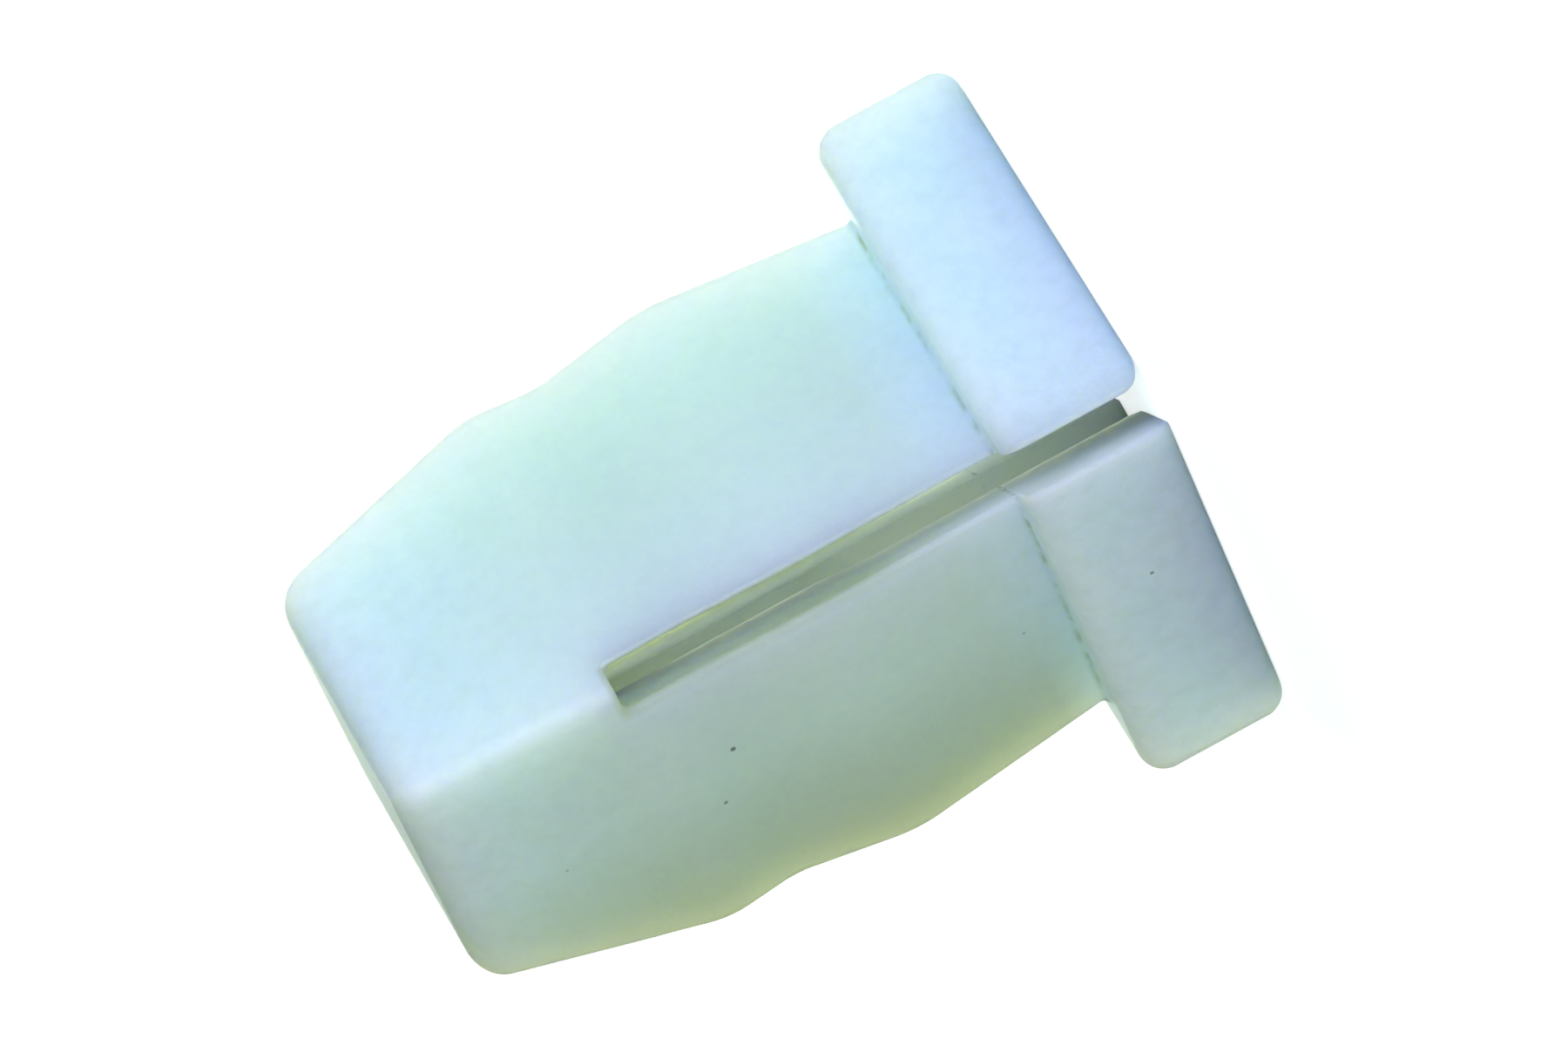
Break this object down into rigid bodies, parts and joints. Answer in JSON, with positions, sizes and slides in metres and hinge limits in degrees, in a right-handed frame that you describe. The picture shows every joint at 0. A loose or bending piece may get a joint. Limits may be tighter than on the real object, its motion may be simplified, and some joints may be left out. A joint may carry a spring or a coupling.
{
  "type": "expansion nut",
  "caption": "Square-headed moulded expansion nut with a wavy square shank, split corner to corner, and a blind bore for a self-tapping screw.",
  "frame": {"origin": "centre of the head's outer face, on which the nut stands", "axes": "+Z along the bore from the head to the tip, square to the face that seats on the panel. X and Y square to the flats. The slot runs through the corners at (+X, -Y) and (-X, +Y)"},
  "size_m": [0.0126, 0.0126, 0.0203],
  "materials": {
    "nylon": "natural unfilled nylon as moulded, milky and slightly translucent, satin"
  },
  "bodies": {
    "root": {"nut_body": "nylon"}
  },
  "joints": []
}
